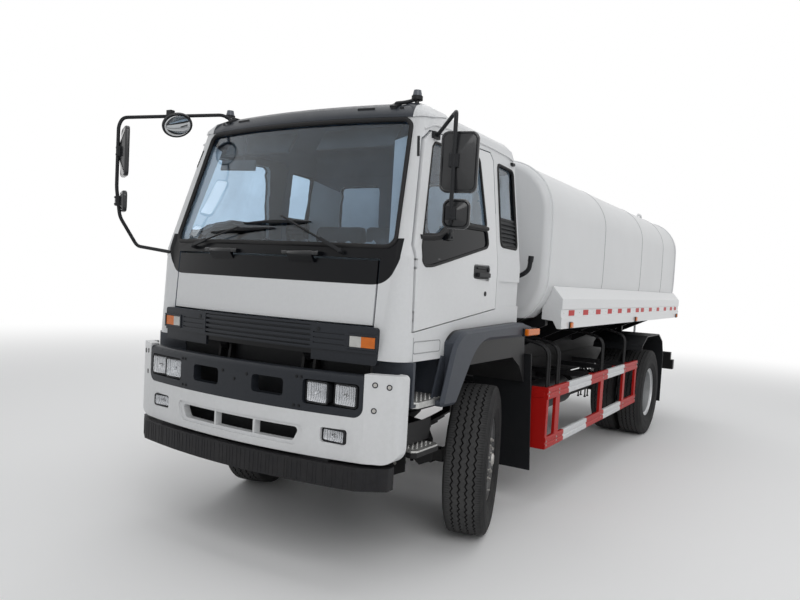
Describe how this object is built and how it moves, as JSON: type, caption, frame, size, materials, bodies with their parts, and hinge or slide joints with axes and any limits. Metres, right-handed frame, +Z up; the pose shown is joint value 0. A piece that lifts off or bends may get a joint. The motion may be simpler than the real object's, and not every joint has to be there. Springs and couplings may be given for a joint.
{
  "type": "tanker truck",
  "caption": "Two-axle cab-over tanker truck: white tilt cab, long rounded tank on a ladder frame, steered front wheels, twin rear wheels, red and white side guards.",
  "frame": {"origin": "on the ground, below the middle of the overall length and width", "axes": "+X forward, +Y to the left of the truck, +Z up"},
  "size_m": [7.66, 2.8314, 2.925],
  "materials": {
    "cab_paint": "gloss white paint",
    "tank_paint": "gloss white paint",
    "door_paint": "gloss white paint",
    "lid_paint": "gloss white paint with black upper band",
    "bumper_paint": "gloss white paint",
    "band_plastic": "satin dark grey",
    "grille_plastic": "satin dark grey",
    "visor_plastic": "gloss black",
    "arch_plastic": "satin blue-grey",
    "glass": "tinted",
    "lamp_clear": "clear lens",
    "lamp_amber": "amber lens",
    "interior": "grained",
    "seat_cloth": "woven",
    "mirror_plastic": "satin black",
    "frame_steel": "satin black paint",
    "spring_steel": "black",
    "axle_iron": "painted black",
    "engine_iron": "cast grey",
    "tyre": "matte",
    "rim_dark": "dark grey",
    "rim_silver": "silver paint",
    "rubber_black": "matte",
    "tread_alloy": "chequered",
    "liner_rubber": "matte",
    "deck_steel": "black",
    "skirt_paint": "gloss white paint",
    "walkway": "grey",
    "guard_paint": "gloss red and white bands",
    "fuel_steel": "black",
    "ladder_steel": "white paint",
    "outlet_steel": "brushed"
  },
  "bodies": {
    "chassis": {"frame": "frame_steel", "front_springs": "spring_steel", "rear_springs": "spring_steel", "front_axle": "axle_iron", "rear_axle": "axle_iron", "engine": "engine_iron", "propshaft": "frame_steel", "bumper": "bumper_paint", "bumper_band": "band_plastic", "front_lamps": "lamp_clear", "rubber_bar": "rubber_black", "lower_steps": "tread_alloy", "mudguards": "liner_rubber", "tank": "tank_paint", "tank_cradle": "deck_steel", "tank_skirts": "skirt_paint", "tank_top": "walkway", "side_guards": "guard_paint", "fuel_tank": "fuel_steel", "air_reservoirs": "fuel_steel", "rear_bumper": "frame_steel", "ladder": "ladder_steel", "outlet": "outlet_steel"},
    "cab": {"cab_shell": "cab_paint", "cab_glass": "glass", "grille": "grille_plastic", "cab_lamps": "lamp_amber", "roof_visor": "visor_plastic", "wheel_arches": "arch_plastic", "dashboard": "interior", "seats": "seat_cloth", "mirror_right": "mirror_plastic"},
    "door_left": {"door_left": "door_paint", "door_glass_left": "glass", "mirror_left": "mirror_plastic"},
    "door_right": {"door_right": "door_paint", "door_glass_right": "glass"},
    "service_panel": {"service_panel": "lid_paint"},
    "knuckle_left": {"knuckle_left": "axle_iron"},
    "knuckle_right": {"knuckle_right": "axle_iron"},
    "tie_rod": {"tie_rod": "axle_iron"},
    "wheel_front_left": {"tyre_front_left": "tyre", "rim_front_left": "rim_dark"},
    "wheel_front_right": {"tyre_front_right": "tyre", "rim_front_right": "rim_dark"},
    "wheels_rear_left": {"tyres_rear_left": "tyre", "rims_rear_left": "rim_silver"},
    "wheels_rear_right": {"tyres_rear_right": "tyre", "rims_rear_right": "rim_silver"},
    "tank_lid": {"tank_lid": "tank_paint"}
  },
  "joints": [
    {"name": "cab_tilt", "type": "hinge", "parent": "chassis", "child": "cab", "pos_m": [3.51, 0, 1.27], "axis": [0, 1, 0], "range_deg": [0, 45]},
    {"name": "door_left_hinge", "type": "hinge", "parent": "cab", "child": "door_left", "pos_m": [3.451, 1.034, 1.71], "axis": [0, 0, -1], "range_deg": [0, 70]},
    {"name": "door_right_hinge", "type": "hinge", "parent": "cab", "child": "door_right", "pos_m": [3.451, -1.034, 1.71], "axis": [0, 0, 1], "range_deg": [0, 70]},
    {"name": "service_panel_hinge", "type": "hinge", "parent": "cab", "child": "service_panel", "pos_m": [3.636, 0, 1.892], "axis": [0, -1, 0], "range_deg": [0, 75]},
    {"name": "steer_left", "type": "hinge", "parent": "chassis", "child": "knuckle_left", "pos_m": [2.43, 0.85, 0.525], "axis": [0, 0, 1], "range_deg": [-56.2, 19.8]},
    {"name": "steer_right", "type": "hinge", "parent": "chassis", "child": "knuckle_right", "pos_m": [2.43, -0.85, 0.525], "axis": [0, 0, 1], "range_deg": [-56.2, 19.8]},
    {"name": "tie_rod_pivot", "type": "hinge", "parent": "knuckle_left", "child": "tie_rod", "pos_m": [2.221, 0.78129, 0.422], "axis": [0, 0, 1], "range_deg": [-19.8, 56.2]},
    {"name": "spin_front_left", "type": "hinge", "parent": "knuckle_left", "child": "wheel_front_left", "pos_m": [2.39221, 0.96495, 0.525], "axis": [-0.3123, 0.95, 0], "continuous": true},
    {"name": "spin_front_right", "type": "hinge", "parent": "knuckle_right", "child": "wheel_front_right", "pos_m": [2.46779, -0.96495, 0.525], "axis": [-0.3123, 0.95, 0], "continuous": true},
    {"name": "spin_rear_left", "type": "hinge", "parent": "chassis", "child": "wheels_rear_left", "pos_m": [-2.03, 0.9375, 0.525], "axis": [0, 1, 0], "continuous": true},
    {"name": "spin_rear_right", "type": "hinge", "parent": "chassis", "child": "wheels_rear_right", "pos_m": [-2.03, -0.9375, 0.525], "axis": [0, 1, 0], "continuous": true},
    {"name": "tank_lid_hinge", "type": "hinge", "parent": "chassis", "child": "tank_lid", "pos_m": [-1.17, 0, 2.891], "axis": [0, -1, 0], "range_deg": [0, 100]}
  ],
  "couplings": [
    {"joint": "steer_right", "follows": "steer_left", "ratio": 1},
    {"joint": "tie_rod_pivot", "follows": "steer_left", "ratio": -1}
  ]
}
